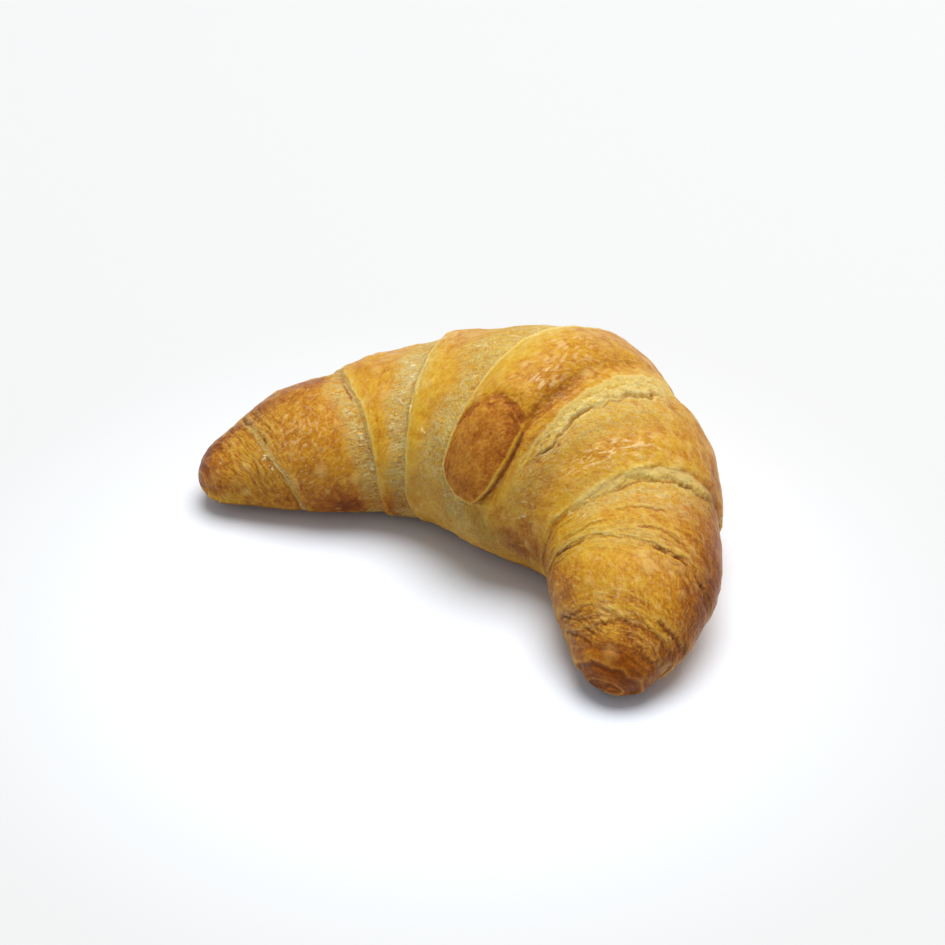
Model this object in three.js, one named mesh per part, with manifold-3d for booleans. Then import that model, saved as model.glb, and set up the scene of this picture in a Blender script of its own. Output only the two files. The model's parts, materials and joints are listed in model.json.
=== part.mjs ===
// A butter croissant lying on its flat, tray-baked underside: one closed body of rolled dough.
// Millimetres, +Z up. The horns point towards -Y and the origin is under the middle of the body's box.
//
// The body is swept along a bent spine through its thick middle. A place on its skin is given by
// s, the run along the spine from the middle (left arm negative), and by the turn round the section,
// in degrees: 0 under the body, 90 at its back, 180 on top and 270 at its front, inside the bay.
import * as THREE from 'three';
import { mergeVertices } from 'three/addons/utils/BufferGeometryUtils.js';
import Module from 'manifold-3d';

// Driving dimensions
const middleHalfWidth = 33.4;
const heightRatio = 0.86; // half height over half width of a section
const sunkShare = 0.14; // share of the half height that the tray presses flat
const tipLift = 3.4; // how far the horn tips stand clear of the tray
const liftStart = 0.55; // share of an arm after which it starts to lift
const capRatio = 0.9; // length of the rounded tip over its half width
const capPower = 2.2;

const leftArm = {
  side: -1,
  length: 91.4,
  bend: 0.837, // radians
  bendAt: 25.4,
  bendSpread: 23.6,
  drift: 0.0019, // steady extra bend, radians per millimetre
  halfWidths: [middleHalfWidth, 28.2, 21.8, 16.6, 6.1], // at equal steps from middle to tip
};
const rightArm = {
  side: 1,
  length: 80.9,
  bend: 0.88,
  bendAt: 26.9,
  bendSpread: 20.2,
  drift: 0.0048,
  halfWidths: [middleHalfWidth, 29.1, 22.2, 17.8, 6.4],
};

// The free edge of the rolled triangle winds outwards from the tongue along each arm. Each row is one
// turn of it: its distance from the middle at the front, on top, at the back and under the body.
leftArm.edgeTurns = [
  [12, 7, 5, 22],
  [36.5, 32.5, 31, 40],
  [47.5, 52.5, 56, 62],
  [71, 77.5, 81, 84],
  [87, 89, 90, 91],
];
rightArm.edgeTurns = [
  [13, 15, 17, 26],
  [40, 36.5, 34, 42],
  [50, 54.5, 58, 60],
  [66, 73, 73.5, 74.5],
  [76, 78, 79, 80],
];
const edgeHeight = 2.2; // step down from one layer of dough to the layer under it
const swellRun = 9; // a layer rises to full height this far from the edge that lies on it
const edgeRound = 2.5; // width of the rounded edge of a layer
const tongueEnd = 268; // turn angle at which the tongue's tip ends, in degrees
const tongueTaper = 24; // degrees by which its corners end earlier than its middle

const bodyStations = 38; // sections along each arm, up to its rounded tip
const capStations = 6;
const sectionPoints = 34;
const spineSteps = 800;

function smoothStep(low, high, value) {
  return THREE.MathUtils.smoothstep(value, low, high);
}

// A smooth curve through equally spaced values that never overshoots them and starts off level.
function curveThrough(values, step) {
  const last = values.length - 1;
  const rise = values.slice(1).map((value, i) => (value - values[i]) / step);
  const slopes = values.map((_, i) => {
    if (i === 0) return 0;
    if (i === last) return rise[last - 1];
    if (rise[i - 1] * rise[i] <= 0) return 0;
    return (2 * rise[i - 1] * rise[i]) / (rise[i - 1] + rise[i]);
  });
  return (x) => {
    const i = THREE.MathUtils.clamp(Math.floor(x / step), 0, last - 1);
    const t = x / step - i;
    const fromStart = values[i] * (1 + 2 * t) * (1 - t) ** 2 + slopes[i] * step * t * (1 - t) ** 2;
    const fromEnd = values[i + 1] * t * t * (3 - 2 * t) + slopes[i + 1] * step * t * t * (t - 1);
    return fromStart + fromEnd;
  };
}

// Heading of the spine at a run along the arm, in radians away from straight.
function heading(arm, run) {
  const bent = Math.tanh((run - arm.bendAt) / arm.bendSpread);
  const bentAtMiddle = Math.tanh(-arm.bendAt / arm.bendSpread);
  return arm.drift * run + (arm.bend / 2) * (bent - bentAtMiddle);
}

function spineOf(arm) {
  const step = arm.length / spineSteps;
  const points = [new THREE.Vector2(0, 0)];
  for (let i = 0; i < spineSteps; i += 1) {
    const angle = heading(arm, (i + 0.5) * step);
    const ahead = new THREE.Vector2(arm.side * Math.cos(angle), -Math.sin(angle));
    points.push(points[i].clone().addScaledVector(ahead, step));
  }
  return (run) => {
    const at = THREE.MathUtils.clamp(run / step, 0, spineSteps);
    const i = Math.min(Math.floor(at), spineSteps - 1);
    return points[i].clone().lerp(points[i + 1], at - i);
  };
}

// Distances from the middle of every edge that crosses one turn angle, from the tongue outwards.
function edgesAt(arm, turnAngle) {
  const winding = 270 - turnAngle;
  const turns = arm.edgeTurns.map((_, turn) => winding + 360 * turn);
  return turns.filter((w) => w >= 0).map((w) => arm.edgeAlong(Math.min(w, arm.windingEnd)));
}

// How far the skin stands proud of the plain body, in millimetres.
function layerRelief(arm, run, turnAngle) {
  const edges = edgesAt(arm, turnAngle);
  const within = edges.filter((edge) => edge <= run);
  const inner = within.length > 0 ? within[within.length - 1] : null;
  const outer = edges[within.length] ?? arm.length;
  const swell = inner === null ? 1 : smoothStep(0, swellRun, run - inner);
  const rounding = smoothStep(0, edgeRound, outer - run);
  return edgeHeight * (0.9 * swell + 0.3 * rounding - 0.7);
}

// The tongue's tip is a flap that stops inside the bay.
function tongueRelief(arm, run, turnAngle) {
  const halfWidth = arm.edgeTurns[0][0];
  const across = run / halfWidth;
  if (across > 1 || turnAngle < 180) return 0;
  const end = tongueEnd - tongueTaper * across ** 3;
  return -edgeHeight * 0.7 * smoothStep(end - 2, end + 4, turnAngle) * smoothStep(360, 310, turnAngle);
}

function sectionAt(arm, run) {
  const plainHalfWidth = arm.widthAlong(run);
  const capLength = capRatio * arm.halfWidths[arm.halfWidths.length - 1];
  const intoCap = 1 - Math.min((arm.length - run) / capLength, 1);
  const halfWidth = plainHalfWidth * (1 - intoCap ** capPower) ** (1 / 2);
  const lift = tipLift * THREE.MathUtils.clamp((run / arm.length - liftStart) / (1 - liftStart), 0, 1) ** 1.5;
  const centreHeight = plainHalfWidth * heightRatio * (1 - sunkShare) + lift;
  const angle = heading(arm, run);
  const outward = new THREE.Vector2(arm.side * Math.sin(angle), Math.cos(angle));
  return { centre: arm.spineAlong(run), outward, halfWidth, centreHeight };
}

function ringAt(arm, run) {
  const { centre, outward, halfWidth, centreHeight } = sectionAt(arm, run);
  const ring = [];
  for (let i = 0; i < sectionPoints; i += 1) {
    const turnAngle = (360 * i) / sectionPoints;
    const angle = THREE.MathUtils.degToRad(turnAngle - 90);
    const reliefShare = Math.min(halfWidth / 20, 1);
    const relief = layerRelief(arm, run, turnAngle) + tongueRelief(arm, run, turnAngle);
    const radius = halfWidth + relief * reliefShare;
    const flat = centre.clone().addScaledVector(outward, radius * Math.cos(angle));
    ring.push(new THREE.Vector3(flat.x, flat.y, centreHeight + radius * heightRatio * Math.sin(angle)));
  }
  return ring;
}

// Runs of the sections of one arm, from the middle to just short of the tip.
function runsOf(arm) {
  const capLength = capRatio * arm.halfWidths[arm.halfWidths.length - 1];
  const runs = [];
  for (let i = 0; i <= bodyStations; i += 1) {
    runs.push(((arm.length - capLength) * i) / bodyStations);
  }
  for (let i = 1; i < capStations; i += 1) {
    runs.push(arm.length - capLength * (1 - Math.sin((Math.PI / 2) * (i / capStations))));
  }
  return runs;
}

function tipOf(arm) {
  const { centre, centreHeight } = sectionAt(arm, arm.length);
  return new THREE.Vector3(centre.x, centre.y, centreHeight);
}

// Both arms as one closed skin: rings joined from tip to tip, with a fan at each tip.
function skinGeometry() {
  const leftRings = runsOf(leftArm).slice(1).reverse().map((run) => ringAt(leftArm, run));
  const rings = [...leftRings, ...runsOf(rightArm).map((run) => ringAt(rightArm, run))];
  const points = [...rings.flat(), tipOf(leftArm), tipOf(rightArm)];
  const leftTip = points.length - 2;
  const rightTip = points.length - 1;
  const lastRing = (rings.length - 1) * sectionPoints;
  const triangles = [];
  for (let i = 0; i < sectionPoints; i += 1) {
    const next = (i + 1) % sectionPoints;
    triangles.push(leftTip, next, i);
    triangles.push(rightTip, lastRing + i, lastRing + next);
    for (let ring = 0; ring < lastRing; ring += sectionPoints) {
      const beyond = ring + sectionPoints;
      triangles.push(ring + i, beyond + next, beyond + i);
      triangles.push(ring + i, ring + next, beyond + next);
    }
  }
  const geometry = new THREE.BufferGeometry().setFromPoints(points);
  geometry.setIndex(triangles);
  return geometry;
}

const wasm = await Module();
wasm.setup();

function solidFrom(geometry) {
  const bare = geometry.clone();
  bare.deleteAttribute('normal');
  bare.deleteAttribute('uv');
  const merged = mergeVertices(bare);
  const vertProperties = new Float32Array(merged.attributes.position.array);
  const triVerts = new Uint32Array(merged.index.array);
  return new wasm.Manifold(new wasm.Mesh({ numProp: 3, vertProperties, triVerts }));
}

function geometryFrom(solid) {
  const mesh = solid.getMesh();
  const geometry = new THREE.BufferGeometry();
  geometry.setAttribute('position', new THREE.BufferAttribute(mesh.vertProperties, 3));
  geometry.setIndex(new THREE.BufferAttribute(mesh.triVerts, 1));
  return geometry;
}

// The tray cuts the swelling body off flat at z = 0.
function restOnTray(geometry) {
  const trayThickness = 40;
  const tray = new THREE.BoxGeometry(400, 400, trayThickness).translate(0, 0, -trayThickness / 2);
  return geometryFrom(solidFrom(geometry).subtract(solidFrom(tray)));
}

function centreOnOrigin(geometry) {
  geometry.computeBoundingBox();
  const middle = geometry.boundingBox.getCenter(new THREE.Vector3());
  return geometry.translate(-middle.x, -middle.y, 0);
}

for (const arm of [leftArm, rightArm]) {
  arm.spineAlong = spineOf(arm);
  arm.widthAlong = curveThrough(arm.halfWidths, arm.length / (arm.halfWidths.length - 1));
  arm.edgeAlong = curveThrough(arm.edgeTurns.flat(), 90);
  arm.windingEnd = 90 * (arm.edgeTurns.flat().length - 1);
}

const bakedDough = new THREE.MeshStandardMaterial({ color: 0xd08a2c, roughness: 0.5, metalness: 0 });
const bodyGeometry = centreOnOrigin(restOnTray(skinGeometry()));
bodyGeometry.computeVertexNormals();
const croissant = new THREE.Mesh(bodyGeometry, bakedDough);
croissant.name = 'croissant';

const model = new THREE.Group();
model.add(croissant);

export default model;
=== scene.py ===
import json
import math
import bpy
import numpy as np
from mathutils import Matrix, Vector

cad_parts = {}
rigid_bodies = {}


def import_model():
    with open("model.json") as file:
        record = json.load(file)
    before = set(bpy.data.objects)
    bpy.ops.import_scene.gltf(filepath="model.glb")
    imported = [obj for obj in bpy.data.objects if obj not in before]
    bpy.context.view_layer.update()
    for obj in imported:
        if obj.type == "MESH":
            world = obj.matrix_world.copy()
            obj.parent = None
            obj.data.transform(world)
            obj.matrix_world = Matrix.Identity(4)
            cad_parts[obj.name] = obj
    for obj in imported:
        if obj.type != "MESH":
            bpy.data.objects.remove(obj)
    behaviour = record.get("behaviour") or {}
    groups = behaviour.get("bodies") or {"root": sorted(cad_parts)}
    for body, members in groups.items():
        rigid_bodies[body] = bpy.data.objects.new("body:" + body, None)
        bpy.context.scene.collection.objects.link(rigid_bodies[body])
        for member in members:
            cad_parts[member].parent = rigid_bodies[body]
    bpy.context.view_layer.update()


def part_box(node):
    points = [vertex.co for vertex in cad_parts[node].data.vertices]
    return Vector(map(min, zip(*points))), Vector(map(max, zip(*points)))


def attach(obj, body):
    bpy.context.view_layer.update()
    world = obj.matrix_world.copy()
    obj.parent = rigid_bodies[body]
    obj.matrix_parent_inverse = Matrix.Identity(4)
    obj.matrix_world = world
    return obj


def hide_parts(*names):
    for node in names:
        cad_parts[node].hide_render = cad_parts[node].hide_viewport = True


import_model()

# A butter croissant: one strip of laminated dough, rolled, bent into a crescent and baked.
# The skin is worked out in millimetres on a grid of (run, turn) and written to the mesh in metres.
# run: millimetres along the spine from the middle, left arm negative.
# turn: degrees round the section, 0 under the body, 90 at the back, 180 on top, 270 in the bay.
metre = 0.001            # metres in a millimetre


def smooth(low, high, x):
    t = np.clip((x - low) / (high - low), 0.0, 1.0)
    return t * t * (3.0 - 2.0 * t)


def bump(x, width):
    return np.exp(-(x / width) ** 2)


def curveThrough(xs, ys, x, levelStart=False):     # smooth curve through points, never overshoots
    xs, ys = np.asarray(xs, dtype=float), np.asarray(ys, dtype=float)
    gap = np.diff(xs)
    rise = np.diff(ys) / gap
    before, after = rise[:-1], rise[1:]
    sameWay = before * after > 0
    total = np.where(sameWay, before + after, 1.0)
    inner = np.where(sameWay, 2.0 * before * after / total, 0.0)
    slope = np.concatenate([[0.0 if levelStart else rise[0]], inner, [rise[-1]]])
    x = np.clip(x, xs[0], xs[-1])
    i = np.clip(np.searchsorted(xs, x, side="right") - 1, 0, len(xs) - 2)
    t = (x - xs[i]) / gap[i]
    fromStart = ys[i] * (1 + 2 * t) * (1 - t) ** 2 + slope[i] * gap[i] * t * (1 - t) ** 2
    fromEnd = ys[i + 1] * t * t * (3 - 2 * t) + slope[i + 1] * gap[i] * t * t * (t - 1)
    return fromStart + fromEnd


def blur(values, rowsOut, columnsOut):             # box blur, wrapping round the section
    total = np.cumsum(np.pad(values, ((rowsOut + 1, rowsOut), (0, 0)), mode="edge"), axis=0)
    values = (total[2 * rowsOut + 1:] - total[:-2 * rowsOut - 1]) / (2 * rowsOut + 1)
    total = np.cumsum(np.pad(values, ((0, 0), (columnsOut + 1, columnsOut)), mode="wrap"), axis=1)
    return (total[:, 2 * columnsOut + 1:] - total[:, :-2 * columnsOut - 1]) / (2 * columnsOut + 1)


def gradientNoise(x, y, z, seed):      # smooth noise of about -1 to 1, one bump per unit
    rng = np.random.default_rng(seed)
    table = rng.permutation(256).astype(np.int32)
    ways = rng.normal(size=(256, 3)).astype(np.float32)
    ways /= np.linalg.norm(ways, axis=1, keepdims=True)
    x, y, z = np.broadcast_arrays(x, y, z)
    cells = [np.floor(v).astype(np.int32) for v in (x, y, z)]
    inside = [np.subtract(v, c, dtype=np.float32) for v, c in zip((x, y, z), cells)]
    fade = [v * v * v * (v * (v * 6 - 15) + 10) for v in inside]
    total = np.zeros(x.shape, dtype=np.float32)
    for cornerX in (0, 1):
        rowX = table[(cells[0] + cornerX) & 255]
        weightX = fade[0] if cornerX else 1 - fade[0]
        for cornerY in (0, 1):
            rowY = table[(rowX + cells[1] + cornerY) & 255]
            weightY = weightX * (fade[1] if cornerY else 1 - fade[1])
            for cornerZ in (0, 1):
                way = ways[table[(rowY + cells[2] + cornerZ) & 255]]
                weight = weightY * (fade[2] if cornerZ else 1 - fade[2])
                reach = way[..., 0] * (inside[0] - cornerX) + way[..., 1] * (inside[1] - cornerY)
                total += weight * (reach + way[..., 2] * (inside[2] - cornerZ))
    return total * 1.7


def layeredNoise(x, y, z, seed, octaves=3, gain=0.5):
    total, size, scale = 0.0, 1.0, 1.0
    for octave in range(octaves):
        total = total + size * gradientNoise(x * scale, y * scale, z * scale, seed + octave)
        size *= gain
        scale *= 2.03
    return total


body = {
    "middleHalfWidth": 33.4,
    "heightRatio": 0.86,      # half height over half width of a section
    "sunkShare": 0.14,        # share of the half height that the tray presses flat
    "tipLift": 3.4,
    "liftStart": 0.55,        # share of an arm after which it lifts off the tray
    "capRatio": 0.9,          # length of the rounded tip over its half width
    "capPower": 2.2,
    "runSteps": 900,          # grid cells along the croissant
    "turnSteps": 720,         # grid cells round it
    "capSteps": 40,
}
leftArm = {
    "side": -1, "length": 91.4, "bend": 0.837, "bendAt": 25.4, "bendSpread": 23.6, "drift": 0.0019,
    "halfWidths": [body["middleHalfWidth"], 28.2, 21.8, 16.6, 6.1],
}
rightArm = {
    "side": 1, "length": 80.9, "bend": 0.88, "bendAt": 26.9, "bendSpread": 20.2, "drift": 0.0048,
    "halfWidths": [body["middleHalfWidth"], 29.1, 22.2, 17.8, 6.4],
}


def headingOf(arm, run):               # how far the spine has turned from straight, in radians
    bent = np.tanh((run - arm["bendAt"]) / arm["bendSpread"])
    bentAtMiddle = math.tanh(-arm["bendAt"] / arm["bendSpread"])
    return arm["drift"] * run + arm["bend"] / 2 * (bent - bentAtMiddle)


def spineOf(arm, run):
    fine = np.linspace(0, arm["length"], 801)
    middle = headingOf(arm, (fine[1:] + fine[:-1]) / 2)
    step = fine[1]
    x = np.concatenate([[0], np.cumsum(np.cos(middle) * step)]) * arm["side"]
    y = np.concatenate([[0], -np.cumsum(np.sin(middle) * step)])
    return np.interp(run, fine, x), np.interp(run, fine, y)


def runsOf(arm, steps):                # denser over the rounded tip
    cap = body["capRatio"] * arm["halfWidths"][-1]
    straight = np.linspace(0, arm["length"] - cap, steps - body["capSteps"] + 1)
    over = np.sin(np.linspace(0, math.pi / 2, body["capSteps"] + 1))[1:-1]
    return np.concatenate([straight, arm["length"] - cap * (1 - over)])


def sectionsOf(arm, run):
    stations = np.linspace(0, arm["length"], len(arm["halfWidths"]))
    plain = curveThrough(stations, arm["halfWidths"], run, levelStart=True)
    cap = body["capRatio"] * arm["halfWidths"][-1]
    intoCap = 1 - np.clip((arm["length"] - run) / cap, 0, 1)
    half = plain * np.sqrt(1 - intoCap ** body["capPower"])
    lifted = np.clip((run / arm["length"] - body["liftStart"]) / (1 - body["liftStart"]), 0, 1)
    centre = plain * body["heightRatio"] * (1 - body["sunkShare"]) + body["tipLift"] * lifted ** 1.5
    x, y = spineOf(arm, run)
    angle = headingOf(arm, run)
    return np.stack([x, y, centre, half, arm["side"] * np.sin(angle), np.cos(angle)], axis=1)


leftSteps = round(body["runSteps"] * leftArm["length"] / (leftArm["length"] + rightArm["length"]))
leftRuns = runsOf(leftArm, leftSteps)
rightRuns = runsOf(rightArm, body["runSteps"] - leftSteps)
runs = np.concatenate([-leftRuns[:0:-1], rightRuns])
sections = np.concatenate([sectionsOf(leftArm, leftRuns)[:0:-1], sectionsOf(rightArm, rightRuns)])
turns = np.arange(body["turnSteps"]) * 360.0 / body["turnSteps"]

run = np.repeat(runs[:, None], len(turns), axis=1)
turn = np.repeat(turns[None, :], len(runs), axis=0)
centreX, centreY, centreZ, halfWidth, outX, outY = [sections[:, i:i + 1] for i in range(6)]
angle = np.radians(turn - 90)
plainX = centreX + halfWidth * np.cos(angle) * outX
plainY = centreY + halfWidth * np.cos(angle) * outY
plainZ = centreZ + halfWidth * body["heightRatio"] * np.sin(angle)
print("plain body:", run.size, "points")


# The dough's free edge winds from the tongue's tip towards each horn. A point is (winding, distance):
# degrees wound since the front, and millimetres from the middle. The first turn is the tongue's side.
def turnOf(first, distances):          # eight equal steps round the section
    return [(first + 45 * step, distance) for step, distance in enumerate(distances)]


leftArm["edge"] = [
    (2, 4), (5, 7), (10, 11.5), (18, 14.6), (30, 13.4), (45, 11.2), (65, 9.6), (80, 8.2),
    (90, 7.5), (105, 4), (135, 1), (180, 0), (225, 5), (270, 18), (315, 30),
    *turnOf(360, [37, 36.5, 33, 30.5, 30.5, 34, 40, 44]),
    *turnOf(720, [46.5, 49, 53, 55, 57, 59, 62, 66]),
    *turnOf(1080, [70, 75, 78, 80, 81, 82, 83, 84]),
]
rightArm["edge"] = [
    (2, 3.5), (6, 6), (12, 8.6), (22, 11), (35, 12.3), (45, 12), (60, 10.4), (90, 10.2),
    (120, 10.6), (135, 11.5), (180, 14), (225, 19), (270, 27), (315, 36),
    *turnOf(360, [41, 41, 36.7, 35, 35, 38, 43, 47]),
    *turnOf(720, [50, 52, 54.5, 57, 58.5, 60, 61.5, 63]),
    *turnOf(1080, [65.5, 70, 72, 72, 72.3, 73, 74, 75]),
]
# How each turn of the edge looks. height: step down to the layer below; leaves: thin sheets in that
# step, lying over `spread` mm; groove: cut under the edge; rise: how far the lower layer takes to swell
# back; bare: width of pale dough that was pulled out from under the edge; ragged: how torn it is;
# pale: how pale its rim is; soft: half width of the step where it is rounded over.
leftArm["edgeLooks"] = [
    {"height": 2.1, "leaves": 1, "spread": 0.6, "groove": 0.15, "rise": 15,
     "bare": 15, "ragged": 0.16, "pale": 0.7, "soft": 0.2},
    {"height": 1.1, "leaves": 2, "spread": 0.9, "groove": 0.06, "rise": 8,
     "bare": 7, "ragged": 0.3, "pale": 0.8, "soft": 0.2},
    {"height": 0.8, "leaves": 2, "spread": 0.8, "groove": 0.06, "rise": 7,
     "bare": 6, "ragged": 0.32, "pale": 0.7, "soft": 0.2},
    {"height": 0.9, "leaves": 3, "spread": 2.6, "groove": 0.15, "rise": 6,
     "bare": 1.0, "ragged": 0.4, "pale": 0.3, "soft": 0.2},
]
rightArm["edgeLooks"] = [
    {"height": 2.2, "leaves": 1, "spread": 2.0, "groove": 0, "rise": 8,
     "bare": 0, "ragged": 0.2, "pale": 0, "soft": 2.4},
    {"height": 0.7, "leaves": 2, "spread": 1.0, "groove": 0, "rise": 8,
     "bare": 0, "ragged": 0.4, "pale": 0.2, "soft": 0.2},
    {"height": 0.35, "leaves": 3, "spread": 3.4, "groove": 0.05, "rise": 6,
     "bare": 0, "ragged": 0.5, "pale": 0.2, "soft": 0.2},
    {"height": 0.4, "leaves": 3, "spread": 3.0, "groove": 0.05, "rise": 4,
     "bare": 0, "ragged": 0.6, "pale": 0.05, "soft": 0.2},
]
edgeSizes = [0.55, 0.45, 0.36, 0.24]           # millimetres per degree along each turn of the edge
tongue = {
    "end": 268.5,          # turn at which its tip stops
    "middle": -0.5,        # run of its tip
    "height": 1.7,         # how far the tip stands on the dough below
    "bakedFrom": 214.0,    # turn past which it is dark and matte, at foldRun
    "foldRun": 4.0,
    "foldCurve": 0.06,     # degrees per square millimetre away from foldRun
}

# What is worked out for every place of the skin. relief and slide are moves outwards and along the
# spine, in millimetres. The rest are masks: fray for pale broken edges, shred for loose threads, bare
# for dough without glaze, shoulder for pale rims, torn for crumb, and the last one is painted shade in
# cracks.
marks = ("relief", "slide", "fray", "shred", "bare", "shoulder", "torn", "creviceShade")
skin = {name: np.zeros(run.shape) for name in marks}
farAway = 99.0             # millimetres, where there is no edge
layer = {                  # which layer a place is on, and how far its two edges are
    "index": np.zeros(run.shape),
    "fromInner": np.full(run.shape, farAway),
    "toOuter": np.full(run.shape, farAway),
}


def mark(name, shown):
    skin[name] = np.maximum(skin[name], shown)


def skinNoise(size, seed, octaves=1, gain=0.5, shift=0.0):     # lumps of about `size` millimetres
    x, y, z = plainX / size, plainY / size, plainZ / size + shift
    return layeredNoise(x, y, z, seed, octaves, gain)


reliefShare = np.clip(halfWidth / 20, 0.05, 1)         # finer towards the horns
turnRow = turns[None, :]
pressed = 1 - 0.75 * smooth(55, 25, np.abs((turnRow + 180) % 360 - 180))      # flattened by the tray
pastTip = (turnRow - tongue["end"]) * math.radians(1) * halfWidth


def addEdge(arm, number):
    look = arm["edgeLooks"][number]
    winding = 270 - turnRow + 360 * number
    along = winding * edgeSizes[number]            # about millimetres along the edge
    key = 50 * arm["side"] + 7 * number
    distance = curveThrough(*zip(*arm["edge"]), winding)
    wander = look["ragged"] * layeredNoise(along / 8, key, 0.5, 11, 2)
    tear = look["ragged"] * layeredNoise(along / 2.4, key, 3.5, 13, 3, 0.6)
    offset = arm["side"] * run - distance - wander
    vary = np.clip(0.85 + 0.45 * gradientNoise(along / 16, key, 8.5, 17), 0.2, 1.4)
    height = look["height"] * vary
    if number == 0:                                # the two sides of the tongue meet at its tip
        ownHalf = arm["side"] * (run - tongue["middle"]) > 0
        ragged = 0.25 * layeredNoise(run / 3.0, 4.5, 2.5, 37, 3)
        offset = np.where(ownHalf, np.maximum(offset, pastTip + ragged), np.minimum(offset, -3.0))
        height = tongue["height"] + (height - tongue["height"]) * smooth(15, 60, winding)
    height = height * pressed * reliefShare
    leaves = look["leaves"]
    soft = 0.2 + (look["soft"] - 0.2) * smooth(42, 66, winding)
    stack, frayed = 0.0, 0.0
    for leaf in range(leaves):
        place = look["spread"] * ((leaf + 0.5) / leaves - 0.5)
        own = 0.8 * look["ragged"] * layeredNoise(along / 4.5, key + 1.7 * leaf, 5.5, 19, 3, 0.55)
        sheet = offset - place - own - 0.5 * tear
        stack = stack + smooth(-soft, soft, sheet) / leaves
        curl = np.clip(0.3 + 1.0 * gradientNoise(along / 5, key + leaf, 9.5, 23), 0, 1)
        frayed = np.maximum(frayed, 0.7 * curl * bump(sheet + 0.2, 0.3))
        skin["relief"] += 0.10 * height * curl * bump(sheet + 0.35, 0.4)
    mark("fray", frayed * 1.4 * look["pale"])
    skin["relief"] -= height * stack * (1 - smooth(0, look["rise"], offset))
    grooveDepth = look["groove"] * pressed * reliefShare
    grooveDepth = grooveDepth * np.clip(0.6 + 0.8 * gradientNoise(along / 9, key, 12.5, 29), 0, 1.5)
    foot = look["spread"] / 2 + 0.5                # where the step meets the layer below
    skin["relief"] -= grooveDepth * bump(offset - foot - 0.5 * tear, 0.5)
    skin["slide"] += arm["side"] * 0.8 * grooveDepth * bump(offset - foot + 1.2, 0.8)
    if look["bare"] > 0:
        bareWidth = look["bare"] * (1 + 0.35 * gradientNoise(along / 12, key, 15.5, 31))
        pulled = smooth(-0.6, 0.3, offset) * (1 - smooth(bareWidth * 0.6, bareWidth * 1.2, offset))
        mark("bare", pulled)
    rim = smooth(-3.4, -0.4, offset) * (1 - smooth(0, 0.6, offset))
    mark("shoulder", look["pale"] * rim)
    beyond = offset > 0
    layer["index"] = np.where(beyond, number + 1, layer["index"])
    layer["fromInner"] = np.where(beyond, offset, layer["fromInner"])
    layer["toOuter"] = np.where(beyond, layer["toOuter"], np.minimum(layer["toOuter"], -offset))


for arm in (leftArm, rightArm):
    for number in range(4):
        addEdge(arm, number)
print("edges laid")


# Each path is a list of (turn, run) that the feature follows.
rolls = [      # rounded ridges: reach is half the width of the ridge
    {"path": [(120, -46), (180, -47), (250, -45)], "reach": 5.0, "height": 0.9},
    {"path": [(120, -29), (160, -29.5), (195, -31), (225, -34), (255, -34)], "reach": 3.4, "height": 1.0},
    {"path": [(90, -66), (180, -66), (280, -60)], "reach": 9.0, "height": 0.6},
    {"path": [(95, 31), (150, 31.5), (180, 32.5), (210, 35), (245, 36)], "reach": 4.0, "height": 1.1},
    {"path": [(60, 24), (135, 24), (180, 25), (225, 25)], "reach": 5.0, "height": 0.8},
    {"path": [(90, 48), (180, 47), (240, 47)], "reach": 6.0, "height": 0.6},
    {"path": [(100, 64), (180, 63), (250, 60)], "reach": 7.0, "height": 0.5},
    {"path": [(70, 3), (150, 3), (190, 1), (235, -1)], "reach": 7.5, "height": 1.3},
    {"path": [(120, 13.8), (160, 13.6), (195, 14), (230, 15)], "reach": 1.9, "height": 0.7},
]
tears = [      # the dough has split: crumb slopes down from the lip to a crevice `width` mm away
    {"path": [(122, 16), (150, 15.2), (180, 15.5), (200, 16.3), (218, 17.6), (240, 17.4)],
     "width": 3.6, "depth": 0.9, "lip": 0.4, "drop": 0.7, "ragged": 0.9},
    {"path": [(108, 36.4), (150, 35.8), (180, 36.9), (205, 39.4), (226, 41.3)],
     "width": 1.4, "depth": 1.0, "lip": 0.3, "drop": 0.25, "ragged": 0.6},
]
slits = [      # narrow open cracks
    {"path": [(106, 58.8), (117, 58.0)], "width": 0.6, "depth": 2.0},
    {"path": [(136, 57.2), (148, 56.4), (166, 56.2)], "width": 0.45, "depth": 1.0},
    {"path": [(160, 46.8), (178, 46.2), (192, 46.6)], "width": 0.3, "depth": 0.5},
    {"path": [(150, 52.2), (168, 51.2), (180, 52.0)], "width": 0.3, "depth": 0.5},
    {"path": [(216, 53.0), (232, 52.4), (248, 51.0)], "width": 0.5, "depth": 0.8},
    {"path": [(124, 37.8), (150, 37.4), (172, 38.2), (194, 40.4)], "width": 0.35, "depth": 0.8},
    {"path": [(146, 18.9), (168, 19.4), (186, 20.2)], "width": 0.3, "depth": 0.5},
    {"path": [(92, 70), (112, 70.4), (140, 70.8)], "width": 0.4, "depth": 1.0},
    {"path": [(142, 72.6), (165, 72.6), (190, 73.0), (214, 73.0)], "width": 0.3, "depth": 0.8},
    {"path": [(214, 75.0), (238, 71.0), (268, 65.5)], "width": 0.3, "depth": 0.8},
    {"path": [(218, 73.0), (244, 69.0), (270, 66.5)], "width": 0.25, "depth": 0.6},
    {"path": [(222, 76.6), (246, 73.2), (268, 70.0)], "width": 0.3, "depth": 0.8},
    {"path": [(96, 76), (130, 76.4), (160, 75.6)], "width": 0.3, "depth": 0.8},
    {"path": [(150, -79.5), (168, -79.0), (195, -77.0), (214, -75.6)], "width": 0.3, "depth": 0.8},
    {"path": [(158, -77.5), (180, -75.6), (200, -74.0)], "width": 0.25, "depth": 0.6},
    {"path": [(170, -86), (205, -84.8), (240, -83.6)], "width": 0.25, "depth": 0.5},
    {"path": [(176, -54.6), (190, -53.4), (198, -52.8)], "width": 0.25, "depth": 0.5},
]
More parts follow.
